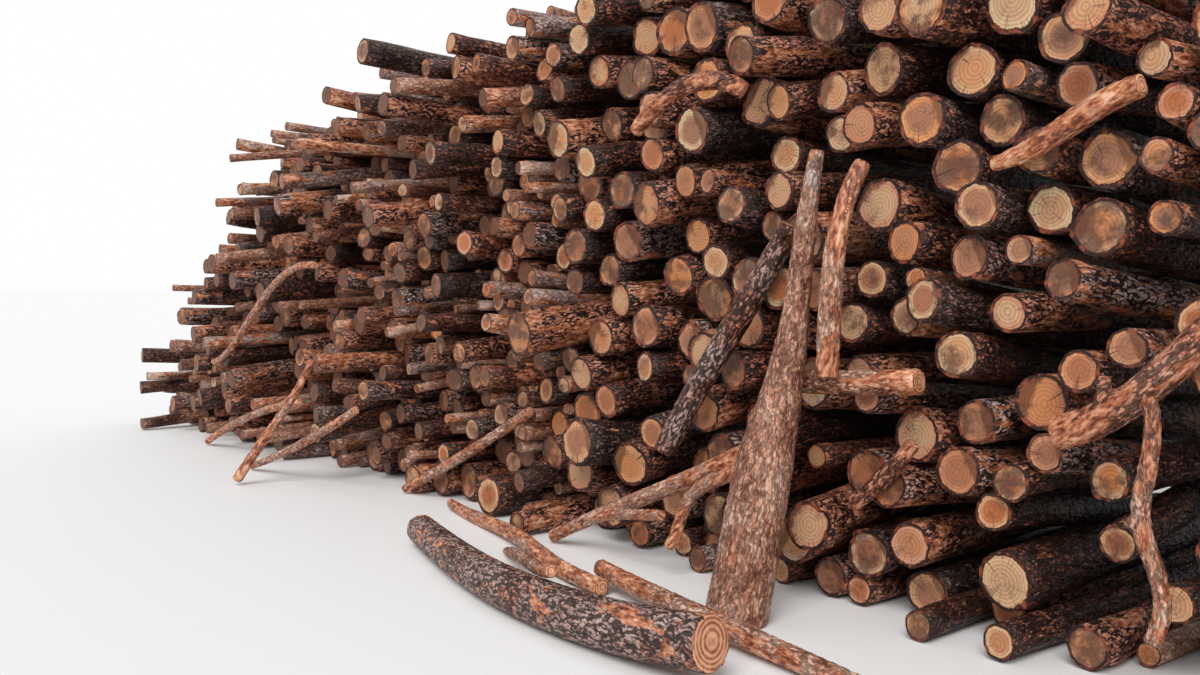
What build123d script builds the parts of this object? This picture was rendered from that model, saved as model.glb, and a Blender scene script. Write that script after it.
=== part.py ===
from build123d import *

import math
import os

import numpy as np

# A free-standing stack of pine roundwood. The logs lie across the stack, along Y, with their sawn ends in
# its two long faces. The stack runs along X, slopes down to the ground at both ends and rests on Z = 0.
# A few crooked stems lean against the front face, and thin poles and one thick log have slid down before
# it. All sizes are millimetres. The origin is under the middle of the whole.

# The logs
log_length = 2400
length_spread = 70
usual_radius = 99
radius_spread = 35
thinnest_radius = 38
thickest_radius = 150
saw_slant = 3.5
saw_waste = 2.0

# How tightly and how evenly they lie
laying_gap = 0.35
skew_spread = 0.07
face_unevenness = 95
proud_share = 0.12
proud_distance = 300
hollow_choice = 45
steepest_rise = 0.13
near_enough = 120
chosen_skews = np.linspace(-0.13, 0.13, 14)

# The left part, between whose two places the laying changes, has no thick logs and is laid less evenly
left_part = (-1800, 600)
left_unevenness = 2.2
left_skew = 1.5
left_thickest_radius = 104
furthest_out = 620

# The outline of the long face
left_foot = -7200
left_shoulder = -4400
left_height = 2850
crown_start = 500
crown_height = 3480
right_shoulder = 4900
right_foot = 6900

# How the logs are shared out among the nodes, and the pattern of chance
course_height = 165
chance = 11

# How finely the stems are measured when they are laid, and how far they stand off what they touch
stem_gap = 0.4
bead_step = 12
rim_points = 32
far_away = 10000.0
furthest_forward = 500

# The front face, and the logs whose ends stand out in it: place along X, height, diameter and how far the
# end stands in front of the face
face = -log_length / 2
chosen_logs = [
    (1860, 75, 150, 190),
    (3340, 75, 150, 280),
    (3740, 88, 175, 250),
    (3660, 260, 280, 90),
    (4370, 350, 175, 60),
    (3160, 370, 240, 80),
    (4120, 520, 185, 20),
    (3820, 580, 190, 60),
    (3580, 590, 175, 60),
    (2530, 690, 150, 0),
    (1400, 730, 220, 120),
    (3400, 750, 240, 60),
    (3690, 760, 195, 110),
    (4080, 780, 190, 20),
    (4540, 910, 185, 40),
    (2980, 1060, 180, 180),
    (1260, 1100, 210, 60),
    (1650, 1050, 155, 40),
    (4500, 1220, 200, 60),
    (3950, 1230, 205, 40),
    (3410, 1290, 230, 100),
    (-210, 1330, 205, 60),
    (4130, 1340, 175, 0),
    (2420, 1370, 195, 40),
    (3110, 1460, 200, 60),
    (3610, 1460, 200, 20),
    (620, 1590, 190, 80),
    (3920, 1600, 190, 130),
    (2880, 1630, 210, 20),
    (1850, 1660, 205, 60),
    (3440, 1700, 220, 60),
    (3670, 1720, 150, 40),
    (3090, 1760, 235, 60),
    (4510, 1820, 195, 20),
    (4290, 1840, 155, 40),
    (2220, 1890, 180, 0),
    (3190, 1970, 240, 60),
    (1350, 2040, 280, 120),
    (490, 2050, 190, 100),
    (4250, 2100, 165, 40),
    (1790, 2170, 165, 60),
    (4460, 2160, 180, 60),
    (4320, 2290, 165, 40),
    (2680, 2340, 190, 20),
    (3910, 2420, 215, 20),
    (4230, 2470, 175, 40),
    (3620, 2470, 150, 20),
    (270, 2620, 195, 100),
    (3010, 2630, 160, 40),
    (2850, 2680, 205, 60),
    (-3230, 2700, 310, 120),
    (840, 2900, 210, 60),
]


def outline_height(x):
    """Height of the stack's outline above the ground at x."""
    return np.interp(
        x,
        [left_foot, left_shoulder, crown_start, right_shoulder, right_foot],
        [0, left_height, crown_height, crown_height, 0],
    )


class Log:
    """A straight log. Its axis crosses y = depth at x, z and has the slopes run and rise."""

    def __init__(self, depth, run, half, radius):
        self.depth, self.run, self.half, self.radius = depth, run, half, radius
        self.x = self.z = self.rise = 0.0

    def row(self):
        place = [self.x, self.depth, self.z, self.run, self.rise]
        return np.array(place + [self.half, self.radius])


def support_heights(log, xs, rows, shares):
    """Height at which the log's axis would be held, at each share of its half length and for each place
    in xs, by the ground and by the logs in rows."""
    away = shares * log.half
    y = log.depth + away
    heights = np.full((len(xs), len(shares)), log.radius)
    if len(rows) == 0:
        return heights
    axis_x = xs[:, None] + log.run * away
    depth = y[:, None]
    inside = np.abs(depth - rows[:, 1]) <= rows[:, 5]
    other_x = rows[:, 0] + rows[:, 3] * (depth - rows[:, 1])
    other_z = rows[:, 2] + rows[:, 4] * (depth - rows[:, 1])
    reach = log.radius + rows[:, 6] + laying_gap
    skewed = 1 + np.maximum(log.run**2, rows[:, 3] ** 2)
    room = reach**2 - (axis_x[:, :, None] - other_x) ** 2 / skewed
    held = np.where(inside & (room > 0), other_z + np.sqrt(np.maximum(room, 0)), 0)
    return np.maximum(heights, held.max(2))


def rest_line(away, heights):
    """Middle height and slope of the line that comes to rest on the heights, one line for each row. The
    line touches before and behind the middle."""
    before, behind = away < 0, away > 0
    low, high = away[before][:, None], away[behind][None, :]
    crossing = heights[:, before][:, :, None] * high - heights[:, behind][:, None, :] * low
    middle = (crossing / (high - low)).max((1, 2))
    steepest = ((heights[:, behind] - middle[:, None]) / away[behind]).max(1)
    shallowest = ((middle[:, None] - heights[:, before]) / -away[before]).min(1)
    slope = np.where(np.abs(steepest) < np.abs(shallowest), steepest, shallowest)
    slope = np.clip(slope, -steepest_rise, steepest_rise)
    return (heights[:, None] - slope[:, None, None] * away).max((1, 2)), slope


def gaps_between(row, rows):
    """Gaps between one log and each log in rows, at even shares of the one and beside the others' ends.
    Gives the gaps, the upward part of their directions and their distances from the log's middle."""
    middle, half = row[0:3], row[5]
    direction = np.array([row[3], 1, row[4]])
    unit = direction / np.linalg.norm(direction)
    other = np.stack([rows[:, 3], np.ones(len(rows)), rows[:, 4]], 1)
    ends = rows[:, 0:3] + np.array([[[-1]], [[1]]]) * rows[:, 5][:, None] * other
    beside = ((ends - middle) @ direction) / (direction @ direction)
    away = np.vstack([np.repeat(fine_shares[:, None], len(rows), 1) * half, beside])
    away = np.clip(away, -half, half)
    points = middle + away[..., None] * direction
    length = np.linalg.norm(other, axis=1)
    other_unit = other / length[:, None]
    offset = points - rows[:, 0:3]
    reach = rows[:, 5] * length
    travel = np.clip((offset * other_unit).sum(2), -reach, reach)
    apart = offset - travel[..., None] * other_unit
    distance = np.linalg.norm(apart, axis=2)
    normal = apart / distance[..., None]
    own_reach = row[6] * np.sqrt(1 - np.minimum((normal @ unit) ** 2, 1))
    other_reach = rows[:, 6] * np.sqrt(1 - np.minimum((normal * other_unit).sum(2) ** 2, 1))
    return distance - own_reach - other_reach, normal[..., 2], away


coarse_shares = np.array([-1, -0.75, -0.5, -0.25, -0.05, 0.05, 0.25, 0.5, 0.75, 1])
fine_shares = np.linspace(-1, 1, 48)


def trimmed(rows):
    """The same logs, as short as the saw cuts could leave them."""
    shorter = rows.copy()
    shorter[..., 5] -= thickest_radius * math.tan(math.radians(saw_slant)) + saw_waste
    return shorter


def settle(log, rows):
    """Raises, lowers and tips the log until it lies laying_gap clear of the logs in rows. False if it
    can't."""
    near = rows
    for turn in range(6):
        away = np.array([-log.half, log.half])
        heights = np.full(2, log.radius * math.sqrt(1 + log.rise**2))
        if len(near):
            gap, upward, where = gaps_between(log.row(), near)
            if turn == 0:
                near = near[gap.min(0) < near_enough]
                gap, upward, where = gaps_between(log.row(), near)
            lift = log.z + log.rise * where + (laying_gap - gap) / np.maximum(upward, 0.2)
            close = (gap < near_enough / 2) & (upward > 0.05)
            away = np.concatenate([away, where[close]])
            heights = np.concatenate([heights, lift[close]])
        middle, slope = rest_line(away, heights[None])
        log.z, log.rise = middle[0], slope[0]
    if len(rows) == 0:
        return True
    for _ in range(12):
        short = laying_gap - gaps_between(log.row(), rows)[0].min()
        if short < laying_gap / 2:
            return gaps_between(trimmed(log.row()), trimmed(rows))[0].min() < 2 * laying_gap
        log.z += 1.5 * short
    return False


def leftness(x):
    """1 in the left part of the stack, 0 in the rest and between them where it changes."""
    return np.interp(x, left_part, (1, 0))


def random_log(rng, radius=None):
    """A log of chance size and skew, or of the given radius, not yet laid."""
    if radius is None:
        radius = np.clip(rng.normal(usual_radius, radius_spread), thinnest_radius, thickest_radius)
    half = (log_length + rng.uniform(-length_spread, length_spread)) / 2
    depth = rng.normal(0, face_unevenness)
    if rng.random() < proud_share:
        depth -= rng.uniform(0.3, 1) * proud_distance
    run = np.clip(rng.normal(0, skew_spread), -3 * skew_spread, 3 * skew_spread)
    return Log(depth, run, half, radius)


def chosen_log(rng, choice):
    """One of the chosen logs, with its front end where the list says."""
    log = random_log(rng, choice[2] / 2)
    log.run /= 2
    log.depth = face - choice[3] + log.half
    return log


def lay_ground_course(rng, chosen):
    """The first course: logs side by side on the ground, each laying_gap from the one before."""
    rows = np.zeros((0, 7))
    grounded = [c for c in chosen if c[1] <= c[2] / 2 + 1]
    while True:
        log = random_log(rng)
        edge = rows[-1, 0] + rows[-1, 6] if len(rows) else left_foot
        for choice in grounded:
            if abs(edge + choice[2] / 2 - choice[0]) < usual_radius:
                log = chosen_log(rng, choice)
        log.x = edge + thickest_radius * 4
        settle(log, rows[:0])
        for _ in range(30):
            if len(rows):
                log.x -= gaps_between(log.row(), rows[-3:])[0].min() - laying_gap
        if len(rows) == 0:
            log.x = left_foot + log.radius
        if log.x + log.radius > right_foot:
            return rows
        rows = np.vstack([rows, log.row()])


def in_the_way(log, xs, middle, slope, waiting):
    """True where the log's front end would take the place of a chosen log still to be laid, or lie
    above it."""
    x = xs - log.run * log.half
    z = middle - slope * log.half
    taken = np.zeros(len(xs), bool)
    for place, height, diameter, _ in waiting:
        below = np.maximum(height - z, 0)
        taken |= np.hypot(x - place, below) < log.radius + diameter / 2 - 15
    return taken


def within_reach(rows, x, swing):
    """The logs that one at x could touch, whose ends swing that far to the side."""
    return rows[np.abs(rows[:, 0] - x) < 3 * thickest_radius + swing + np.abs(rows[:, 3]) * rows[:, 5]]


def sink(log, x, step, rows):
    """Lets the log down into the hollow near x, within step of it. False if it doesn't fit."""
    rows = within_reach(rows, x, abs(log.run) * log.half)
    low, high = x - step, x + step
    for _ in range(12):
        thirds = np.array([low + (high - low) / 3, high - (high - low) / 3])
        middle, slope = rest_line(coarse_shares * log.half, support_heights(log, thirds, rows, coarse_shares))
        if middle[0] < middle[1]:
            high = thirds[1]
        else:
            low = thirds[0]
    log.x, log.z, log.rise = thirds.mean(), middle.mean(), slope.mean()
    return settle(log, rows)


def lay_chosen(rng, waiting, rows):
    """Lays the lowest chosen log that the heap has risen to, at the skew that brings its front end
    nearest to its place. None if there is none."""
    for choice in sorted(waiting, key=lambda c: c[1])[:8]:
        place, height, diameter, _ = choice
        log = chosen_log(rng, choice)
        near = within_reach(rows, place, chosen_skews.max() * log_length)
        best = None
        for skew in chosen_skews:
            log.run = skew
            x = place + skew * log.half
            heights = support_heights(log, np.array([x]), near, coarse_shares)
            middle, slope = rest_line(coarse_shares * log.half, heights)
            miss = middle[0] - slope[0] * log.half - height
            if best is None or abs(miss) < abs(best[0]):
                best = miss, skew, x, middle[0], slope[0]
        if best[0] > -30:
            waiting.remove(choice)
            log.run, log.x, log.z, log.rise = best[1:]
            if settle(log, near):
                return log
    return None


def exposed(rows):
    """The logs near the top of the heap, which a new log could touch."""
    probe = Log(0, 0, log_length / 2, thinnest_radius)
    xs = np.arange(left_foot, right_foot, 80)
    surface = support_heights(probe, xs, rows, coarse_shares).min(1)
    reaches = 3 * thickest_radius + np.abs(rows[:, 3]) * rows[:, 5]
    lowest = [surface[np.abs(xs - x) < reach].min() for x, reach in zip(rows[:, 0], reaches)]
    return rows[rows[:, 2] + 2.2 * thickest_radius > lowest]


def lay_stack():
    """All the logs of the stack, laid one at a time in the lowest hollows until the outline is full."""
    rng = np.random.default_rng(chance)
    rows = lay_ground_course(rng, chosen_logs)
    waiting = [c for c in chosen_logs if c[1] > c[2] / 2 + 1]
    step = 60
    misses = 0
    top = rows
    while misses < 15:
        if len(rows) % 25 == 0:
            top = exposed(rows)
        log = lay_chosen(rng, waiting, top)
        if log is None:
            log = random_log(rng)
            xs = np.arange(left_foot + log.radius, right_foot - log.radius, step)
            middle, slope = rest_line(
                coarse_shares * log.half, support_heights(log, xs, top, coarse_shares)
            )
            free = middle + log.radius <= outline_height(xs)
            free[1:] &= middle[1:] <= middle[:-1]
            free[:-1] &= middle[:-1] <= middle[1:]
            free &= ~in_the_way(log, xs, middle, slope, waiting)
            if log.radius > left_thickest_radius:
                free &= leftness(xs) == 0
            if not free.any():
                misses += 1
                continue
            score = np.where(free, middle + rng.normal(0, hollow_choice, len(xs)), np.inf)
            place = xs[score.argmin()]
            out = log.depth * (1 + (left_unevenness - 1) * leftness(place))
            log.depth = np.clip(out, -furthest_out, furthest_out)
            log.run *= 1 + (left_skew - 1) * leftness(place)
            if not sink(log, place, step, top):
                continue
        misses = 0
        rows = np.vstack([rows, log.row()])
        top = np.vstack([top, log.row()])
    return rows


class Stem:
    """A crooked stem with its branches. Each limb is a list of centre points (place along X, distance in
    front of the face, height) and a list of radii at even steps along it. A stem that leans is slid back
    until it touches; one that lies is let down on what is under it."""

    def __init__(self, name, points, radii, branches=(), flat_foot=False):
        self.name, self.flat_foot = name, flat_foot
        self.limbs = [
            ([Vector(x, face - forward, z) for x, forward, z in places], sizes)
            for places, sizes in [(points, radii), *branches]
        ]

    def shift(self, change):
        """Moves every point by what change gives for it."""
        self.limbs = [([point + change(point) for point in places], sizes) for places, sizes in self.limbs]

    def share(self, point):
        """How far along the main limb a point lies, from 0 to 1."""
        first, last = self.limbs[0][0][0], self.limbs[0][0][-1]
        line = last - first
        return min(max((point - first).dot(line) / line.dot(line), 0), 1)

    def beads(self):
        """Centres and radii of spheres that fill the limbs, with points around their ends."""
        beads = []
        for number, (places, sizes) in enumerate(self.limbs):
            path = Edge.make_spline(places)
            count = max(round(path.length / bead_step), 8)
            for share in np.linspace(0, 1, count):
                to_end = min(share, 1 - share) * path.length
                radius = radius_along(sizes, share)
                beads.append((*(path @ share), min(radius, to_end)))
                if to_end < radius:
                    flat = self.flat_foot and number == 0 and share < 0.5
                    plane = Plane(path @ share, z_dir=(0, 0, 1) if flat else path % share)
                    for turn in np.linspace(0, 2 * math.pi, rim_points, endpoint=False):
                        rim = (radius * math.cos(turn), radius * math.sin(turn), 0)
                        beads.append((*plane.from_local_coords(rim), 0))
        return np.array(beads)


def radius_along(sizes, share):
    """Radius at a share of a limb's length, from radii at even steps."""
    return float(np.interp(share, np.linspace(0, 1, len(sizes)), sizes))


def gap_to_logs(beads, rows):
    """Smallest gap between each bead and the logs with their sawn front ends."""
    cuts = [saw_plane(row, back=False) for row in rows]
    cut_places = np.array([tuple(cut.origin) for cut in cuts])
    cut_normals = -np.array([tuple(cut.z_dir) for cut in cuts])
    other = np.stack([rows[:, 3], np.ones(len(rows)), rows[:, 4]], 1)
    length = np.linalg.norm(other, axis=1)
    unit = other / length[:, None]
    offset = beads[:, None, :3] - rows[None, :, :3]
    travel = (offset * unit).sum(2)
    apart = offset - travel[..., None] * unit
    distance = np.linalg.norm(apart, axis=2)
    sideways = distance - rows[:, 6]
    beyond = ((beads[:, None, :3] - cut_places) * cut_normals).sum(2)
    lean = (apart * cut_normals).sum(2) / np.maximum(distance, 1)
    at_rim = (sideways > lean * beyond) & (beyond > lean * sideways)
    square = np.maximum(sideways**2 + beyond**2 - 2 * lean * sideways * beyond, 0)
    gap = np.where(at_rim, np.sqrt(square / (1 - lean**2)), np.maximum(sideways, beyond))
    return gap.min(1) - beads[:, 3]


def gap_around(beads, rows, placed):
    """Smallest gap between each bead and the logs and stems already in place."""
    low, high = beads[:, 0].min() - thickest_radius * 2, beads[:, 0].max() + thickest_radius * 2
    at_face = rows[:, 0] - rows[:, 3] * rows[:, 5]
    near = rows[(at_face > low) & (at_face < high)]
    gap = gap_to_logs(beads, near) if len(near) else np.full(len(beads), far_away)
    for others in placed:
        apart = np.linalg.norm(beads[:, None, :3] - others[None, :, :3], axis=2)
        gap = np.minimum(gap, (apart - others[None, :, 3]).min(1) - beads[:, 3])
    return gap


def lean(stem, rows, placed):
    """Slides the stem back along Y until it is stem_gap from what is there."""
    beads = stem.beads()
    way = -furthest_forward
    beads[:, 1] += way
    for _ in range(200):
        room = gap_around(beads, rows, placed).min() - stem_gap
        if room < stem_gap / 50:
            break
        beads[:, 1] += room
        way += room
    stem.shift(lambda point: Vector(0, way, 0))


def lie_down(stem, rows, placed):
    """Lets both halves of the stem down until each lies on the ground or on what is there."""
    for _ in range(25):
        beads = stem.beads()
        gap = np.minimum(gap_around(beads, rows, placed) - stem_gap, beads[:, 2] - beads[:, 3])
        ahead = np.array([stem.share(Vector(*bead[:3])) for bead in beads])
        fore, aft = gap[ahead < 0.5].min(), gap[ahead >= 0.5].min()
        if max(fore, aft) < stem_gap / 5 and min(fore, aft) > -stem_gap / 5:
            break
        stem.shift(lambda point: Vector(0, 0, -0.8 * (fore + (aft - fore) * stem.share(point))))


def limb(places, sizes, flat_foot):
    """A loft through round sections across a smooth line."""
    path = Edge.make_spline(places)
    with BuildPart() as part:
        for number, share in enumerate(np.linspace(0, 1, 3 * len(places))):
            across = Vector(0, 0, 1) if flat_foot and number == 0 else path % share
            with BuildSketch(Plane(path @ share, z_dir=across)):
                Circle(radius_along(sizes, share))
        loft()
    return part.part


def stem_solid(stem):
    """A stem with its branches as one solid."""
    with BuildPart() as part:
        for number, (places, sizes) in enumerate(stem.limbs):
            add(limb(places, sizes, stem.flat_foot and number == 0))
    return part.part.solid()


def saw_plane(log, back):
    """The plane of a sawn end, a little out of square and inside the log's length."""
    sign = 1 if back else -1
    direction = Vector(log[3], 1, log[4])
    slant = saw_slant * math.sin(log[0] * 7 + log[2] * 3 + sign)
    turn = log[0] + 2 * log[2] + sign
    across = direction.rotate(Axis.X, slant * math.cos(turn)).rotate(Axis.Z, slant * math.sin(turn))
    inset = log[6] * math.tan(math.radians(abs(slant))) + saw_waste
    end = Vector(*log[:3]) + sign * (log[5] * direction - inset * direction.normalized())
    return Plane(end, z_dir=across)


def log_solid(log):
    """One log of the stack, trimmed by its two saw cuts."""
    direction = Vector(log[3], 1, log[4])
    length = 2 * log[5] * direction.length
    with BuildPart(Plane(log[:3], z_dir=direction)) as part:
        Cylinder(log[6], length)
        split(bisect_by=saw_plane(log, back=False), keep=Keep.TOP)
        split(bisect_by=saw_plane(log, back=True), keep=Keep.BOTTOM)
    return part.part.solid()


# Stems that lean against the front face
leaning_stems = [
    Stem("cross_log", [(2605, 130, 1110), (2950, 110, 1125), (3300, 80, 1150)], [60, 60, 62]),
    Stem(
        "leaning_trunk",
        [
            (2640, 570, 0), (2650, 460, 450), (2662, 360, 850), (2675, 300, 1060),
            (2690, 250, 1300), (2708, 190, 1750), (2730, 120, 2220),
        ],
        [152, 146, 138, 96, 64, 54, 36],
        [([(2722, 145, 2130), (2752, 160, 2165), (2790, 165, 2180)], [20, 15, 11])],
        flat_foot=True,
    ),
    Stem(
        "leaning_stem",
        [(2890, 250, 1150), (2893, 230, 1550), (2912, 180, 1900), (2962, 90, 2150)],
        [54, 58, 50, 42],
    ),
    Stem(
        "leaning_pole",
        [(1770, 350, 680), (1990, 280, 1080), (2240, 190, 1500), (2440, 100, 1880)],
        [62, 68, 70, 58],
        [([(2400, 120, 1800), (2470, 170, 1850), (2560, 180, 1830)], [30, 26, 22])],
    ),
    Stem(
        "low_pole",
        [(770, 380, 42), (1100, 360, 195), (1650, 320, 430), (2420, 230, 790)],
        [40, 44, 52, 60],
        [([(1100, 360, 195), (1450, 420, 285), (1840, 450, 345)], [26, 30, 34])],
    ),
    Stem(
        "hooked_branch",
        [(2320, 300, 640), (2080, 320, 540), (1950, 340, 430), (1905, 360, 300), (1850, 380, 170)],
        [44, 42, 38, 36, 34],
    ),
    Stem(
        "knotty_branch",
        [(3940, 200, 985), (4180, 190, 1100), (4450, 150, 1355), (4740, 140, 1600)],
        [74, 66, 72, 60],
        [([(4130, 200, 1075), (4150, 240, 1165), (4160, 250, 1230)], [40, 34, 26])],
    ),
    Stem(
        "upright_branch",
        [(4330, 240, 1160), (4348, 270, 900), (4335, 290, 715), (4410, 290, 480), (4387, 300, 250)],
        [30, 36, 38, 34, 34],
        [([(4345, 285, 730), (4310, 300, 700), (4285, 305, 680)], [26, 24, 20])],
    ),
    Stem(
        "end_pole",
        [(4630, 420, 0), (4650, 360, 400), (4672, 300, 760)],
        [48, 44, 40],
        flat_foot=True,
    ),
    Stem(
        "pale_branch",
        [(3590, 120, 2100), (3780, 130, 2150), (3960, 110, 2250), (4210, 90, 2355)],
        [34, 50, 54, 50],
    ),
    Stem(
        "bent_stub",
        [(2250, 50, 2560), (2000, 200, 2610), (1850, 260, 2530), (1675, 280, 2396)],
        [48, 52, 48, 42],
    ),
    Stem("short_branch", [(2957, 150, 560), (3080, 140, 660), (3258, 110, 870)], [44, 42, 36]),
    Stem(
        "left_pole_1",
        [(-2400, 610, 44), (-2140, 380, 520), (-2060, 250, 760), (-2030, 140, 980)],
        [42, 40, 34, 28],
    ),
    Stem("left_pole_2", [(-4740, 180, 36), (-3900, 150, 330), (-2750, 120, 576)], [34, 38, 34]),
    Stem("left_pole_3", [(-3020, 260, 34), (-2200, 200, 300), (-1330, 150, 650)], [30, 36, 34]),
    Stem("left_pole_4", [(-1250, 260, 38), (-500, 200, 380), (210, 140, 743)], [34, 40, 36]),
    Stem(
        "left_pole_5",
        [(-4440, 160, 830), (-3500, 180, 1260), (-2640, 150, 1700), (-2250, 130, 1720)],
        [28, 34, 36, 30],
    ),
]

# Stems that lie on the ground before the stack
lying_stems = [
    Stem(
        "fallen_log",
        [(300, 1010, 94), (1100, 1250, 98), (1800, 1400, 104), (2400, 1440, 114), (3200, 1400, 175)],
        [90, 98, 106, 114, 117],
    ),
    Stem(
        "front_pole_1",
        [(-520, 290, 40), (180, 460, 46), (720, 590, 60), (1206, 747, 50), (1900, 889, 46)],
        [34, 44, 48, 48, 46],
    ),
    Stem(
        "front_pole_2",
        [(1722, 760, 46), (2300, 890, 54), (2700, 955, 58), (3000, 985, 54), (3900, 1090, 46)],
        [46, 52, 54, 50, 46],
    ),
    Stem(
        "front_branch",
        [(860, 765, 40), (1297, 982, 110), (1806, 1238, 170), (2248, 1470, 255)],
        [26, 34, 36, 32],
    ),
]


def write_nodes(nodes):
    """Writes each node's solids to its STEP file, with the origin under the middle of the whole."""
    boxes = [solid.bounding_box() for solids in nodes.values() for solid in solids]
    low = [min(tuple(box.min)[axis] for box in boxes) for axis in range(3)]
    high = [max(tuple(box.max)[axis] for box in boxes) for axis in range(3)]
    home = Location((-(low[0] + high[0]) / 2, -(low[1] + high[1]) / 2, -low[2]))
    os.makedirs("parts", exist_ok=True)
    for name, solids in nodes.items():
        node = Compound(label=name, children=[solid.moved(home) for solid in solids])
        export_step(node, f"parts/{name}.step")


def place_stems(rows):
    """Puts the stems where they come to rest, one after the other."""
    placed = []
    for stem in leaning_stems + lying_stems:
        if stem in leaning_stems:
            lean(stem, rows, placed)
        else:
            lie_down(stem, rows, placed)
        placed.append(stem.beads())


def main():
    rows = lay_stack()
    place_stems(rows)
    nodes = {stem.name: [stem_solid(stem)] for stem in leaning_stems + lying_stems}
    for row in rows:
        course = int(row[2] // course_height) + 1
        nodes.setdefault(f"log_course_{course:02d}", []).append(log_solid(row))
    write_nodes(nodes)


main()
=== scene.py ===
"""Stack of felled pine logs: bark, sawn ends and crooked stems over the CAD frame, in metres."""

import math

import bpy
import numpy as np
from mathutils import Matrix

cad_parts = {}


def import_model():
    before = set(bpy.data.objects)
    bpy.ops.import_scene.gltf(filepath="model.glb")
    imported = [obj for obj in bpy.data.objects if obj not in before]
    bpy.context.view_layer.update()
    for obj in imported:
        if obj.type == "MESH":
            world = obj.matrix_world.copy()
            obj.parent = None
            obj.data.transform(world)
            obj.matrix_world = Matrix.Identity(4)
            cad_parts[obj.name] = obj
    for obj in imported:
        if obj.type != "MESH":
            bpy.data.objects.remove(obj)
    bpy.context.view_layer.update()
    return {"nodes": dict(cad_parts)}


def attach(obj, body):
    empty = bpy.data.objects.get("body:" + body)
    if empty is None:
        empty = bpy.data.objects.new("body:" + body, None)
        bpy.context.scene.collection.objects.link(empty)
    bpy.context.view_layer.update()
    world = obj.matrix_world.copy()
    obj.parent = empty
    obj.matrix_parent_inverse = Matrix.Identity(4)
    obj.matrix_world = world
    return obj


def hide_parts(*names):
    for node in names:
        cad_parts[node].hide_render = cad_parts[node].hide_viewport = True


# Reading the frame
weld_distance = 1e-5
end_slice = 0.04
least_area = 1e-12
flat_enough = 1e-6
least_cap_triangles = 12

# Straight logs
log_sides = 30
log_rings = 11
end_rings = 2
ring_crowding = 0.25
bark_depth = 0.006
thin_bark_loss = 0.6
swell_share = 0.18
swell_level = 0.85
knot_share = 0.12
rim_reach = 0.98
crook_spread = 0.014
least_crook = 0.2
taper_share = 0.05
thin_radius = 0.055
thick_radius = 0.085
pattern_spread = 50

# Dirt on sawn ends, which is worst in the left part of the stack
usual_dirt = 0.75
left_dirt = 0.5
dirty_stretch = (-2.0, 1.5)

# What a log's mesh carries only until it is made
building_values = (
    "front",
    "axis",
    "front_facing",
    "back_facing",
    "front_radius",
    "back_radius",
    "turn",
    "crook",
    "taper",
    "unit",
    "is_side",
)

# Crooked stems. The saw and the grab tear more bark off near the ends
stem_voxel = 0.0105
stem_bark_depth = 0.004
pattern_shifts = 17
torn_length = 0.25
torn_by_saw = 0.16

# Looks of the stems: how thin and tan the bark is, its tone, how grey it is and how much of it is torn off
look_names = ("thinness", "tone", "stain", "torn")
usual_look = (0.70, 0.65, 0.20, 0.40)
stem_looks = {
    "leaning_trunk": (0.74, 0.46, 0.66, 0.24),
    "leaning_stem": (0.75, 0.55, 0.10, 0.38),
    "leaning_pole": (0.15, 0.65, 0.80, 0.24),
    "low_pole": (0.80, 0.55, 0.10, 0.40),
    "hooked_branch": (0.85, 0.60, 0.00, 0.38),
    "knotty_branch": (0.35, 0.70, 0.15, 0.36),
    "upright_branch": (0.60, 0.60, 0.20, 0.34),
    "end_pole": (0.45, 0.50, 0.30, 0.32),
    "pale_branch": (0.40, 0.80, 0.10, 0.46),
    "cross_log": (0.55, 0.60, 0.10, 0.36),
    "bent_stub": (0.30, 0.50, 0.20, 0.34),
    "short_branch": (0.30, 0.60, 0.10, 0.32),
    # The fallen log's grey is weathered bark and also painted highlight on its top side
    "fallen_log": (0.12, 0.75, 0.84, 0.30),
    "front_pole_1": (0.75, 0.75, 0.10, 0.46),
    "front_pole_2": (0.60, 0.75, 0.40, 0.40),
    "front_branch": (0.50, 0.80, 0.60, 0.40),
}

# Bark, as ramps of (place, colour) and plain colours
dark_plates = (
    (0.31, (0.014, 0.006, 0.005, 1)),
    (0.45, (0.090, 0.027, 0.015, 1)),
    (0.57, (0.28, 0.088, 0.045, 1)),
    (0.72, (0.56, 0.25, 0.16, 1)),
)
tan_bark = (
    (0.30, (0.085, 0.026, 0.015, 1)),
    (0.46, (0.29, 0.11, 0.064, 1)),
    (0.60, (0.50, 0.245, 0.155, 1)),
    (0.76, (0.70, 0.48, 0.37, 1)),
)
grey_bark = (
    (0.32, (0.024, 0.015, 0.014, 1)),
    (0.50, (0.14, 0.080, 0.066, 1)),
    (0.72, (0.42, 0.31, 0.275, 1)),
)
inner_bark = (
    (0.36, (0.11, 0.028, 0.014, 1)),
    (0.50, (0.36, 0.115, 0.05, 1)),
    (0.63, (0.56, 0.27, 0.16, 1)),
)
bare_wood = (
    (0.36, (0.28, 0.075, 0.028, 1)),
    (0.50, (0.58, 0.24, 0.11, 1)),
    (0.63, (0.74, 0.46, 0.31, 1)),
)
# Near-black of the crevices between plates: darker furrow bark with painted shade in it
crevice_shade_colour = (0.014, 0.006, 0.005, 1)
# Pale specks of painted highlight, for glints on wet bark
painted_glint_colour = (0.66, 0.46, 0.38, 1)

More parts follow.
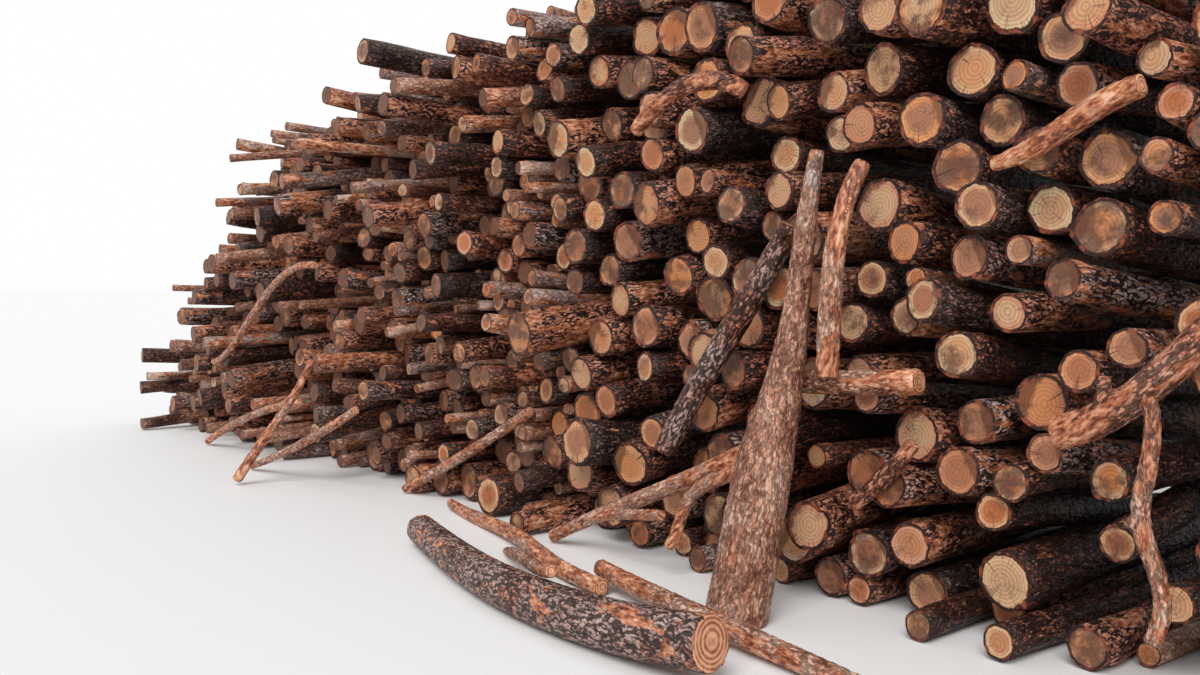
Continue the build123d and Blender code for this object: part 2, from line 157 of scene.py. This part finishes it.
# Sawn ends, where the tone picks the fresh wood and the stain the heartwood
fresh_wood = (
    (0.0, (0.72, 0.35, 0.15, 1)),
    (0.20, (0.82, 0.58, 0.34, 1)),
    (0.42, (0.76, 0.26, 0.07, 1)),
    (0.60, (0.70, 0.36, 0.23, 1)),
    (0.80, (0.60, 0.21, 0.08, 1)),
    (1.0, (0.76, 0.52, 0.33, 1)),
)
heartwood = (
    (0.0, (0.62, 0.22, 0.07, 1)),
    (0.35, (0.68, 0.43, 0.24, 1)),
    (0.6, (0.48, 0.14, 0.045, 1)),
    (1.0, (0.36, 0.18, 0.11, 1)),
)
stem_end_wood = (
    (0.0, (0.24, 0.075, 0.035, 1)),
    (0.30, (0.72, 0.37, 0.21, 1)),
)
ring_colour = (0.19, 0.075, 0.035, 1)
soot_colour = (0.105, 0.046, 0.029, 1)
wet_colour = (0.12, 0.040, 0.018, 1)
# Painted shade inside the cracks of the sawn ends
crack_shade_colour = (0.035, 0.016, 0.012, 1)
dark_rim_colour = (0.022, 0.008, 0.006, 1)
red_rim_colour = (0.24, 0.060, 0.028, 1)
stem_rim_colour = (0.20, 0.05, 0.024, 1)

# Rings and saw marks, in radians for a metre
fine_ring_rate = 1250
wide_ring_rate = 330
stem_ring_rate = 400
saw_mark_rate = 700

# Wood's surface
wood_sheen = 0.25
bark_bump = 0.008
end_bump = 0.004

# Camera at the height of a person's eyes, with its angles in degrees and its lens in millimetres
camera_place = (6.546, -5.262, 1.60)
camera_azimuth = 51.0
camera_drop = 2.8
camera_reach = 300
lens_width = 36.0
lens_length = 34.83

# Light and ground, with the sun's angles in degrees
floor_size = 400
floor_colour = (0.80, 0.79, 0.77, 1)
floor_roughness = 0.9
sky_colour = (0.93, 0.95, 1.0, 1)
sky_strength = 0.75
background_colour = (1, 1, 1, 1)
sun_strength = 2.3
sun_width = 35
sun_turn = (48, 8, 28)


class Wire:
    """A node's output, on which Python's operators add Math nodes."""

    def __init__(self, tree, socket):
        self.tree = tree
        self.socket = socket

    def math(self, operation, *others):
        return self.tree.add("ShaderNodeMath", {"operation": operation}, dict(enumerate((self, *others))))

    def __add__(self, other):
        return self.math("ADD", other)

    __radd__ = __add__

    def __mul__(self, other):
        return self.math("MULTIPLY", other)

    __rmul__ = __mul__

    def __sub__(self, other):
        return self.math("SUBTRACT", other)

    def __rsub__(self, other):
        return self.tree.add("ShaderNodeMath", {"operation": "SUBTRACT"}, {0: other, 1: self})

    def __truediv__(self, other):
        return self.math("DIVIDE", other)

    def __gt__(self, other):
        return self.math("GREATER_THAN", other)

    def wave(self):
        """The sine of a number, brought to between 0 and 1."""
        return (self.math("SINE") + 1) * 0.5

    def beside(self, name):
        """Another output of the same node."""
        return Wire(self.tree, self.socket.node.outputs[name])


class Tree:
    """Adds nodes to a shader tree or a geometry tree."""

    def __init__(self, group):
        self.group = group

    def add(self, kind, settings=None, inputs=None, out=0):
        """Adds one node, with its settings first and then its sockets' values or links."""
        node = self.group.nodes.new(kind)
        for name, value in (settings or {}).items():
            setattr(node, name, value)
        for key, value in (inputs or {}).items():
            if isinstance(value, Wire):
                self.group.links.new(value.socket, node.inputs[key])
            else:
                node.inputs[key].default_value = value
        return Wire(self, node.outputs[out])

    def end(self, kind, wire):
        """Adds the node that the tree ends in."""
        self.group.links.new(wire.socket, self.group.nodes.new(kind).inputs[0])

    def vector(self, operation, *values):
        """A Vector Math node. Gives its number where the operation makes one."""
        out = "Value" if operation in ("DOT_PRODUCT", "LENGTH") else "Vector"
        return self.add("ShaderNodeVectorMath", {"operation": operation}, dict(enumerate(values)), out)

    def scaled(self, vector, factor):
        """A vector times a number."""
        return self.add("ShaderNodeVectorMath", {"operation": "SCALE"}, {0: vector, "Scale": factor})

    def squeezed(self, place, share):
        """A place with only a share of its z, so that a pattern runs on along the wood."""
        return self.vector("MULTIPLY", place, (1.0, 1.0, share))

    def parts(self, vector):
        """The x, y and z of a vector."""
        x = self.add("ShaderNodeSeparateXYZ", None, {0: vector})
        return x, x.beside("Y"), x.beside("Z")

    def together(self, x, y, z):
        """A vector of three numbers."""
        return self.add("ShaderNodeCombineXYZ", None, {0: x, 1: y, 2: z})

    def noise(self, place, scale, detail=3.0, roughness=0.5):
        """Noise around 0.5."""
        inputs = {"Vector": place, "Scale": scale, "Detail": detail, "Roughness": roughness}
        return self.add("ShaderNodeTexNoise", None, inputs)

    def eased(self, value, low, high):
        """0 below low, 1 above high and smooth between them."""
        settings = {"interpolation_type": "SMOOTHSTEP"}
        return self.add("ShaderNodeMapRange", settings, {"Value": value, "From Min": low, "From Max": high})

    def blend(self, factor, first, second):
        """Mixes two colours."""
        return self.add("ShaderNodeMix", {"data_type": "RGBA"}, {0: factor, 6: first, 7: second}, 2)

    def ramp(self, factor, stops):
        """A colour ramp through (place, colour) stops."""
        made = self.add("ShaderNodeValToRGB", None, {0: factor})
        elements = made.socket.node.color_ramp.elements
        while len(elements) < len(stops):
            elements.new(0.5)
        for element, (place, colour) in zip(elements, stops):
            element.position = place
            element.color = colour
        return made

    def carried(self, name, out="Fac"):
        """What a mesh carries under a name, for a shader tree."""
        return self.add("ShaderNodeAttribute", {"attribute_name": name}, None, out)

    def stored(self, name, kind="FLOAT"):
        """What a mesh carries under a name, for a geometry tree."""
        return self.add("GeometryNodeInputNamedAttribute", {"data_type": kind}, {"Name": name})

    def store(self, geometry, name, value, kind="FLOAT", domain="POINT"):
        """The geometry with a value kept on it under a name."""
        settings = {"data_type": kind, "domain": domain}
        inputs = {"Geometry": geometry, "Name": name, "Value": value}
        return self.add("GeometryNodeStoreNamedAttribute", settings, inputs)


# Reading the frame


def vertex_places(mesh):
    """The places of a mesh's vertices, one in each row."""
    places = np.empty(len(mesh.vertices) * 3, np.float32)
    mesh.vertices.foreach_get("co", places)
    return places.reshape(-1, 3)


def welded(mesh):
    """The mesh's vertices with doubles merged, and its triangles on them."""
    places = vertex_places(mesh).astype(float)
    mesh.calc_loop_triangles()
    corners = np.empty(len(mesh.loop_triangles) * 3, np.int32)
    mesh.loop_triangles.foreach_get("vertices", corners)
    cells = np.round(places / weld_distance)
    _, first, same = np.unique(cells, axis=0, return_index=True, return_inverse=True)
    return places[first], same.reshape(-1)[corners].reshape(-1, 3)


def loose_pieces(count, triangles):
    """A number for each vertex, the same for all vertices of one loose piece."""
    label = np.arange(count)
    while True:
        lowest = label[triangles].min(1)
        before = label.copy()
        for corner in range(3):
            np.minimum.at(label, triangles[:, corner], lowest)
        label = label[label]
        if (label == before).all():
            return label


def spread(places):
    """The middle of some places, and the directions in which they spread most, less and least."""
    middle = places.mean(0)
    return middle, np.linalg.svd(places - middle, full_matrices=False)[2]


def to_the_back(direction):
    """The direction, turned round if it points to the front of the stack."""
    return direction * (1 if direction[1] > 0 else -1)


def rim(places):
    """Centre and facing of the ring of points round one sawn end."""
    centre, directions = spread(places)
    return centre, to_the_back(directions[2])


def measure_logs(node):
    """Each log of a node as a dict of its front, axis, radii and the facings of its two sawn ends."""
    places, triangles = welded(node.data)
    label = loose_pieces(len(places), triangles)
    logs = []
    for one in np.unique(label):
        points = places[label == one]
        middle, directions = spread(points)
        along = (points - middle) @ to_the_back(directions[0])
        ends = points[along < along.min() + end_slice], points[along > along.max() - end_slice]
        (front, front_facing), (back, back_facing) = map(rim, ends)
        axis = back - front
        forward = axis / np.linalg.norm(axis)
        front_radius, back_radius = (
            np.linalg.norm(np.cross(end - front, forward), axis=1).max() for end in ends
        )
        logs.append(
            {
                "front": front,
                "axis": axis,
                "front_facing": front_facing,
                "back_facing": back_facing,
                "front_radius": front_radius,
                "back_radius": back_radius,
            }
        )
    return logs


# Meshes and geometry trees


def carry(mesh, name, values, domain="POINT"):
    """Keeps a number or a vector for each point or face on a mesh under a name."""
    values = np.asarray(values, np.float32)
    kind, key = ("FLOAT_VECTOR", "vector") if values.ndim == 2 else ("FLOAT", "value")
    mesh.attributes.new(name, kind, domain).data.foreach_set(key, values.ravel())


def geometry_tree(name, kinds):
    """A new geometry tree with named inputs of the given kinds, and their wires, the mesh's first."""
    group = bpy.data.node_groups.new(name, "GeometryNodeTree")
    group.interface.new_socket("Geometry", in_out="OUTPUT", socket_type="NodeSocketGeometry")
    for label, kind in {"Geometry": "Geometry", **kinds}.items():
        group.interface.new_socket(label, in_out="INPUT", socket_type="NodeSocket" + kind)
    tree = Tree(group)
    entry = group.nodes.new("NodeGroupInput")
    return tree, [Wire(tree, entry.outputs[label]) for label in ("Geometry", *kinds)]


def plain_mesh(piece, group, inputs):
    """The mesh that a geometry tree makes of an object, which is then taken away."""
    bpy.context.scene.collection.objects.link(piece)
    modifier = piece.modifiers.new("shape", "NODES")
    modifier.node_group = group
    for item in group.interface.items_tree:
        if item.name in inputs:
            modifier[item.identifier] = inputs[item.name]
    evaluated = piece.evaluated_get(bpy.context.evaluated_depsgraph_get())
    mesh = bpy.data.meshes.new_from_object(evaluated)
    bpy.data.objects.remove(piece)
    return mesh


def plate_relief(tree, place, depth):
    """How far the surface lies below the top of the bark's plates, as a number of 0 or less."""
    plates = tree.noise(place, scale=30.0, detail=3.0, roughness=0.6)
    return (tree.eased(plates, 0.35, 0.62) - 1.0) * depth


# Straight logs


def log_points(name, logs, seed):
    """A mesh of one point for each log, which carries what the log is made from."""
    chance = np.random.default_rng(seed)
    count = len(logs)
    values = {key: np.array([log[key] for log in logs]) for key in logs[0]}
    values["turn"] = chance.uniform(0, math.tau, count)
    values["offset"] = chance.uniform(-pattern_spread, pattern_spread, (count, 3))
    values["crook"] = chance.uniform(least_crook, 1, count) * crook_spread
    values["taper"] = chance.choice([-1, 1], count) * taper_share
    values["tone"] = chance.random(count)
    values["stain"] = chance.random(count)
    values["dirt"] = chance.random(count) * usual_dirt
    values["dirt"] += np.interp(values["front"][:, 0], dirty_stretch, (left_dirt, 0))
    # Thin logs have smooth tan bark, thick ones dark plates
    values["thinness"] = np.interp(values["front_radius"], (thin_radius, thick_radius), (1, 0))
    mesh = bpy.data.meshes.new(name)
    mesh.from_pydata(values["front"].tolist(), [], [])
    for key in values:
        carry(mesh, key, values[key])
    return bpy.data.objects.new(name, mesh)


def log_tree(bark, sawn_end):
    """Geometry nodes that put one bark-covered, tapered and slightly crooked log on each point."""
    kinds = {"Sides": "Int", "Rings": "Int", "End rings": "Int", "Bark depth": "Float"}
    tree, (points, sides, rings, end_count, depth) = geometry_tree("logs_on_points", kinds)

    # A plain bar of radius 1 from -1 to 1, one on each point
    shape = {"Vertices": sides, "Side Segments": rings, "Fill Segments": end_count}
    shape.update({"Radius": 1.0, "Depth": 2.0})
    bar = tree.add("GeometryNodeMeshCylinder", {"fill_type": "TRIANGLE_FAN"}, shape)
    is_side = bar.beside("Side")
    smooth = {"Geometry": bar, "Shade Smooth": is_side}
    bar = tree.add("GeometryNodeSetShadeSmooth", {"domain": "FACE"}, smooth)
    bar = tree.store(bar, "unit", tree.add("GeometryNodeInputPosition"), "FLOAT_VECTOR")
    bar = tree.store(bar, "is_side", is_side, domain="FACE")
    bars = tree.add("GeometryNodeInstanceOnPoints", None, {"Points": points, "Instance": bar})
    logs = tree.add("GeometryNodeRealizeInstances", None, {0: bars})

    # The log's own directions, and the share of its length at which a point lies.
    # Rings crowd towards both ends, where the logs are seen
    unit_x, unit_y, unit_z = tree.parts(tree.stored("unit", "FLOAT_VECTOR"))
    axis = tree.stored("axis", "FLOAT_VECTOR")
    forward = tree.vector("NORMALIZE", axis)
    across = tree.vector("NORMALIZE", tree.vector("CROSS_PRODUCT", forward, (0.0, 0.0, 1.0)))
    upward = tree.vector("CROSS_PRODUCT", across, forward)
    share = (unit_z + ring_crowding * (unit_z - unit_z * unit_z * unit_z)) * 0.5 + 0.5

    radius = tree.stored("front_radius") * (1 - share) + tree.stored("back_radius") * share
    taper = tree.stored("taper")
    radius = radius * (1 - taper.math("ABSOLUTE") * 0.5 + taper * (share - 0.5))
    around = tree.vector("ADD", tree.scaled(across, unit_x), tree.scaled(upward, unit_y))
    reach = tree.vector("LENGTH", around)
    local = tree.together(unit_x * radius, unit_y * radius, share * tree.vector("LENGTH", axis))

    # Plates and swells cut in from the CAD's surface, and knots stand out of it
    bark_place = tree.vector("ADD", local, tree.stored("offset", "FLOAT_VECTOR"))
    relief = plate_relief(tree, tree.squeezed(bark_place, 0.45), depth)
    relief = relief * (1 - thin_bark_loss * tree.stored("thinness"))
    swell = tree.noise(tree.squeezed(bark_place, 0.4), scale=7.0, detail=1.0)
    knots = tree.noise(tree.squeezed(bark_place, 0.7), scale=6.0, detail=0.0)
    knots = tree.eased(knots, 0.66, 0.78)
    relief = relief + (swell - swell_level) * swell_share * radius + knots * knot_share * radius
    outward = tree.scaled(around, radius + relief * (reach > rim_reach))

    # The crook is greatest halfway along
    bent = share * (1 - share) * 4 * tree.stored("crook")
    turn = tree.stored("turn")
    sideways = tree.scaled(across, turn.math("SINE") * bent)
    bend = tree.vector("ADD", sideways, tree.scaled(upward, turn.math("COSINE") * bent))
    core = tree.vector("ADD", tree.stored("front", "FLOAT_VECTOR"), tree.scaled(axis, share))
    straight = tree.vector("ADD", core, tree.vector("ADD", outward, bend))

    def sawn(name):
        """How far a point moves along the axis to lie on a slanted sawn end."""
        facing = tree.stored(name, "FLOAT_VECTOR")
        return 0 - tree.vector("DOT_PRODUCT", outward, facing) / tree.vector("DOT_PRODUCT", forward, facing)

    slide = sawn("front_facing") * (1 - share) + sawn("back_facing") * share
    x, y, z = tree.parts(tree.vector("ADD", straight, tree.scaled(forward, slide)))
    above_ground = tree.together(x, y, z.math("MAXIMUM", 0.0))
    logs = tree.add("GeometryNodeSetPosition", None, {"Geometry": logs, "Position": above_ground})
    logs = tree.store(logs, "local", local, "FLOAT_VECTOR")
    logs = tree.store(logs, "reach", reach)
    logs = tree.add("GeometryNodeSetMaterial", None, {"Geometry": logs, "Material": sawn_end})
    on_side = tree.stored("is_side") > 0.5
    finish = {"Geometry": logs, "Selection": on_side, "Material": bark}
    tree.end("NodeGroupOutput", tree.add("GeometryNodeSetMaterial", None, finish))
    return tree.group


def make_logs(node, group, seed):
    """The bark-covered logs that stand for one course of the frame."""
    points = log_points(node.name + "_points", measure_logs(node), seed)
    sizes = {"Sides": log_sides, "Rings": log_rings, "End rings": end_rings, "Bark depth": bark_depth}
    mesh = plain_mesh(points, group, sizes)
    for name in building_values:
        mesh.attributes.remove(mesh.attributes[name])
    return bpy.data.objects.new(node.name + "_bark", mesh)


# Crooked stems


def stem_caps(places, triangles):
    """Marks the triangles of sawn ends, which lie flat with many others."""
    a, b, c = (places[triangles[:, corner]] for corner in range(3))
    cross = np.cross(b - a, c - a)
    area = np.linalg.norm(cross, axis=1)
    normal = cross / np.maximum(area, least_area)[:, None]
    edges = {}
    for index, triangle in enumerate(triangles):
        for corner in range(3):
            pair = tuple(sorted((triangle[corner], triangle[(corner + 1) % 3])))
            edges.setdefault(pair, []).append(index)
    group = np.arange(len(triangles))

    def root(index):
        while group[index] != index:
            group[index] = group[group[index]]
            index = group[index]
        return index

    for pair in edges.values():
        if len(pair) == 2 and normal[pair[0]] @ normal[pair[1]] > 1 - flat_enough:
            group[root(pair[0])] = root(pair[1])
    roots = np.array([root(index) for index in range(len(triangles))])
    size = np.bincount(roots, minlength=len(triangles))
    return size[roots] > least_cap_triangles


def end_centres(corners, middle, forward):
    """The centre of the sawn ends on each side of a stem's middle, where it has any."""
    places = corners.mean(1)
    area = np.linalg.norm(np.cross(corners[:, 1] - corners[:, 0], corners[:, 2] - corners[:, 0]), axis=1)
    side = (places - middle) @ forward > 0
    return [np.average(places[one], axis=0, weights=area[one]) for one in (side, ~side) if one.any()]


def stem_tree(bark):
    """Geometry nodes that cut bark relief into a remeshed stem and mark its sawn ends."""
    tree, (stem, solid, depth) = geometry_tree("stem_relief", {"Solid": "Object", "Bark depth": "Float"})
    in_place = {"transform_space": "ORIGINAL"}
    source = tree.add("GeometryNodeObjectInfo", in_place, {"Object": solid}, "Geometry")
    nearest = {"Mesh": source, "Value": tree.stored("cap")}
    sawn = tree.add("GeometryNodeSampleNearestSurface", {"data_type": "FLOAT"}, nearest)
    stem = tree.store(stem, "sawn", sawn)
    relief = plate_relief(tree, tree.add("GeometryNodeInputPosition"), depth) * (1 - sawn)
    offset = tree.scaled(tree.add("GeometryNodeInputNormal"), relief)
    stem = tree.add("GeometryNodeSetPosition", None, {"Geometry": stem, "Offset": offset})
    finish = {"Geometry": stem, "Material": bark}
    tree.end("NodeGroupOutput", tree.add("GeometryNodeSetMaterial", None, finish))
    return tree.group


def make_stem(node, group):
    """A crooked stem with bark relief, remeshed from its CAD solid."""
    places, triangles = welded(node.data)
    caps = stem_caps(places, triangles)
    rough = bpy.data.meshes.new(node.name + "_bark")
    rough.from_pydata(places.tolist(), [], triangles.tolist())
    carry(rough, "cap", caps, "FACE")
    solid = bpy.data.objects.new(node.name + "_solid", rough)
    bpy.context.scene.collection.objects.link(solid)
    piece = bpy.data.objects.new(node.name + "_bark", rough.copy())
    remesh = piece.modifiers.new("remesh", "REMESH")
    remesh.mode = "VOXEL"
    remesh.voxel_size = stem_voxel
    remesh.use_smooth_shade = True
    mesh = plain_mesh(piece, group, {"Solid": solid, "Bark depth": stem_bark_depth})
    bpy.data.objects.remove(solid)

    # Places measured across and along the stem, for grain that runs with it
    made = vertex_places(mesh)
    middle, directions = spread(places)
    turned = directions[::-1]
    carry(mesh, "local", (made - middle) @ turned.T + len(places) % pattern_shifts)

    # Distance to the middle of the nearest sawn end, for its rings
    centres = end_centres(places[triangles[caps]], middle, turned[2]) or [middle]
    end_reach = np.min([np.linalg.norm(made - centre, axis=1) for centre in centres], axis=0)
    carry(mesh, "end_reach", end_reach)

    looks = dict(zip(look_names, stem_looks.get(node.name, usual_look)))
    looks["torn"] += torn_by_saw * np.clip(1 - end_reach / torn_length, 0, 1)
    for name, value in looks.items():
        carry(mesh, name, np.full(len(made), value))
    return bpy.data.objects.new(node.name + "_bark", mesh)


# Materials


def new_material(name):
    """An empty material and its tree."""
    material = bpy.data.materials.new(name)
    material.use_nodes = True
    material.node_tree.nodes.clear()
    return material, Tree(material.node_tree)


def wood_surface(tree, colour, roughness, height, bump_strength, bump_distance):
    """Ends a material in wood of little gloss, with its height as bumps."""
    bump = {"Strength": bump_strength, "Distance": bump_distance, "Height": height}
    wood = {"Base Color": colour, "Roughness": roughness, "Specular IOR Level": wood_sheen}
    wood["Normal"] = tree.add("ShaderNodeBump", None, bump)
    tree.end("ShaderNodeOutputMaterial", tree.add("ShaderNodeBsdfPrincipled", None, wood))


def bark_finish(tree, along, place):
    """Colour and height of wet pine bark: dark plates with reddish flecks and pale specks of painted
    highlight, tan and smooth on thin wood, grey where it is weathered. Along is the place with the wood's
    length squeezed."""
    thin, tone, stain = (tree.carried(name) for name in ("thinness", "tone", "stain"))
    warp = tree.noise(place, scale=22.0, detail=0.0).beside("Color")
    plate_place = tree.vector("ADD", along, tree.scaled(warp, 0.035))
    plate = tree.add("ShaderNodeTexVoronoi", None, {"Vector": plate_place, "Scale": 62.0})
    plate_tone = tree.parts(plate.beside("Color"))[0]
    # Crevices between the plates, painted darker for furrow bark and for the shade in them
    crevice_shade = tree.eased(1 - plate, 0.40, 0.62)
    flakes = tree.noise(along, scale=130.0, detail=3.0, roughness=0.75)
    patches = tree.noise(place, scale=3.5, detail=2.0, roughness=0.55)
    mix = plate_tone * 0.25 + flakes * 0.82 + (patches - 0.5) * 0.5 + (tone - 0.5) * 0.34 + thin * 0.05

    is_thin = tree.eased(thin + (patches - 0.5) * 0.8, 0.35, 0.65)
    is_grey = tree.eased(stain + (patches - 0.5) * 0.7, 0.70, 0.88)
    bark = tree.blend(is_thin, tree.ramp(mix, dark_plates), tree.ramp(mix, tan_bark))
    bark = tree.blend(is_grey * 0.85, bark, tree.ramp(mix, grey_bark))
    bark = tree.blend(crevice_shade.math("MAXIMUM", thin * 0.65), crevice_shade_colour, bark)
    # Pale specks where the fine flakes peak are painted highlights of wet bark
    bark = tree.blend(tree.eased(flakes, 0.63, 0.70) * 0.7, bark, painted_glint_colour)

    plates = tree.noise(along, scale=38.0, detail=2.0, roughness=0.6)
    height = tree.eased(plates, 0.36, 0.60) * (1 - thin * 0.6) + flakes * 0.45
    return bark, height


def torn_bark(tree, along, bark, share):
    """Bark torn off in streaks, down to reddish inner bark and bright wood. Gives the colour and how
    bare it is."""
    edge = tree.noise(along, scale=9.0, detail=3.0, roughness=0.7) + share
    streaks = tree.noise(along, scale=45.0, detail=2.0, roughness=0.7)
    peeled = tree.eased(edge, 0.90, 0.94)
    colour = tree.blend(peeled, bark, tree.ramp(streaks, inner_bark))
    return tree.blend(tree.eased(edge, 1.02, 1.08), colour, tree.ramp(streaks, bare_wood)), peeled


def bark_material():
    """Wet, plated pine bark of the straight logs."""
    material, tree = new_material("pine_bark")
    place = tree.vector("ADD", tree.carried("local", "Vector"), tree.carried("offset", "Vector"))
    along = tree.squeezed(place, 0.42)
    bark, height = bark_finish(tree, along, place)
    colour, _ = torn_bark(tree, along, bark, tree.carried("tone") * 0.22 + 0.22)
    wood_surface(tree, colour, 0.48, height, 0.9, bark_bump)
    return material


def end_material():
    """Sawn pine ends with rings, cracks drawn as painted shade and stains, inside a rim of bark."""
    material, tree = new_material("sawn_pine")
    local, offset = tree.carried("local", "Vector"), tree.carried("offset", "Vector")
    tone, stain, dirt, reach = (tree.carried(name) for name in ("tone", "stain", "dirt", "reach"))
    place = tree.vector("ADD", local, offset)
    fibres = tree.noise(place, scale=18.0, detail=3.0, roughness=0.6)
    blotches = tree.noise(place, scale=10.0, detail=3.0, roughness=0.65)

    # Rings run round a pith that lies a little off the middle
    pith = tree.scaled(tree.squeezed(offset, 0.0), 0.0003)
    from_pith = tree.vector("SUBTRACT", tree.squeezed(local, 0.0), pith)
    ring_reach = tree.vector("LENGTH", from_pith)
    fine_rings = (ring_reach * fine_ring_rate + fibres * 5).wave()
    wide_rings = (ring_reach * wide_ring_rate + fibres * 4).wave()
    heart = tree.eased(reach + (blotches - 0.5) * 0.9, 0.75, 0.40)
    wood = tree.blend(heart, tree.ramp(tone, fresh_wood), tree.ramp(stain, heartwood))
    wood = tree.blend(fine_rings * 0.26 + wide_rings * 0.34, wood, ring_colour)

    # Dirt in blotches, one wet side that turns with the stain, and cracks that run out from the pith, as
    # dark lines of painted shade
    sooty = tree.eased(blotches * 0.9 + dirt * 0.5, 0.62, 0.84)
    wood = tree.blend(sooty * 0.85, wood, soot_colour)
    x, y, _ = tree.parts(tree.vector("ADD", from_pith, tree.scaled(offset, 0.0005)))
    wet = tree.eased(x * (stain * 44 - 22) + y * 8 + blotches * 1.8 + tone, 2.1, 2.6)
    wood = tree.blend(wet * 0.8, wood, wet_colour)
    ray_place = tree.vector("ADD", tree.vector("NORMALIZE", from_pith), offset)
    rays = tree.noise(ray_place, scale=4.0, detail=2.0, roughness=0.6)
    # Cracks are dark lines of painted shade, with no bump
    crack_shade = 1 - tree.eased((rays - 0.5).math("ABSOLUTE"), 0.004, 0.022)
    crack_shade = crack_shade * tree.eased(blotches, 0.44, 0.56)
    wood = tree.blend(crack_shade * 0.85, wood, crack_shade_colour)

    skin = tree.eased(reach + (fibres - 0.5) * 0.34, 0.80, 0.85)
    rim_colour = tree.blend(tree.eased(fibres, 0.48, 0.66), dark_rim_colour, red_rim_colour)
    colour = tree.blend(skin, wood, rim_colour)
    saw_marks = (tree.parts(place)[0] * saw_mark_rate).math("SINE") * 0.15
    height = (fine_rings * 0.3 + saw_marks) * (1 - crack_shade) * (1 - skin)
    wood_surface(tree, colour, 0.5, height, 0.6, end_bump)
    return material


def stem_material():
    """Bark of crooked stems, torn off in streaks, with pale sawn ends."""
    material, tree = new_material("stem_bark")
    place = tree.carried("local", "Vector")
    along = tree.squeezed(place, 0.38)
    bark, height = bark_finish(tree, along, place)
    colour, peeled = torn_bark(tree, along, bark, tree.carried("torn"))

    sawn = tree.carried("sawn")
    is_sawn = tree.eased(sawn, 0.4, 0.6)
    fibres = tree.noise(place, scale=24.0, detail=3.0, roughness=0.6)
    rings = (tree.carried("end_reach") * stem_ring_rate + fibres * 2).wave()
    end_colour = tree.ramp(fibres * 0.6 - rings * 0.26, stem_end_wood)
    end_colour = tree.blend(tree.eased(sawn, 0.80, 0.97), stem_rim_colour, end_colour)
    colour = tree.blend(is_sawn, colour, end_colour)
    height = height * (1 - peeled * 0.6) * (1 - is_sawn)
    wood_surface(tree, colour, 0.46, height, 0.85, bark_bump)
    return material


# Studio


def make_floor():
    """A pale floor, which is no part of the object."""
    bpy.ops.mesh.primitive_plane_add(size=floor_size)
    floor = bpy.context.object
    floor.name = "studio_floor"
    material, tree = new_material("pale_floor")
    paint = {"Base Color": floor_colour, "Roughness": floor_roughness}
    tree.end("ShaderNodeOutputMaterial", tree.add("ShaderNodeBsdfPrincipled", None, paint))
    floor.data.materials.append(material)


def make_light():
    """Soft light from the sky and a wide sun, before a white background."""
    world = bpy.data.worlds.new("studio_sky")
    world.use_nodes = True
    world.node_tree.nodes.clear()
    bpy.context.scene.world = world
    tree = Tree(world.node_tree)
    seen = tree.add("ShaderNodeLightPath", None, None, "Is Camera Ray")
    seen = seen.math("MAXIMUM", seen.beside("Is Glossy Ray"))
    light = tree.add("ShaderNodeBackground", None, {"Color": sky_colour, "Strength": sky_strength})
    white = tree.add("ShaderNodeBackground", None, {"Color": background_colour, "Strength": 1.0})
    tree.end("ShaderNodeOutputWorld", tree.add("ShaderNodeMixShader", None, {0: seen, 1: light, 2: white}))
    data = bpy.data.lights.new("soft_sun", "SUN")
    data.energy = sun_strength
    data.angle = math.radians(sun_width)
    sun = bpy.data.objects.new("soft_sun", data)
    sun.rotation_euler = [math.radians(angle) for angle in sun_turn]
    bpy.context.scene.collection.objects.link(sun)


def make_camera():
    """The camera at eye height before the right part of the front face."""
    data = bpy.data.cameras.new("camera")
    data.sensor_width = lens_width
    data.lens = lens_length
    data.clip_end = camera_reach
    camera = bpy.data.objects.new("camera", data)
    camera.location = camera_place
    camera.rotation_euler = (math.radians(90 - camera_drop), 0, math.radians(camera_azimuth))
    bpy.context.scene.collection.objects.link(camera)
    bpy.context.scene.camera = camera


def main():
    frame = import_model()
    nodes = frame["nodes"]
    stems = stem_tree(stem_material())
    logs = log_tree(bark_material(), end_material())
    for seed, name in enumerate(sorted(nodes)):
        if name.startswith("log_course"):
            piece = make_logs(nodes[name], logs, seed)
        else:
            piece = make_stem(nodes[name], stems)
        bpy.context.scene.collection.objects.link(piece)
        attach(piece, "root")
        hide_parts(name)
    make_floor()
    make_light()
    make_camera()
    bpy.context.scene.view_settings.view_transform = "Standard"


main()
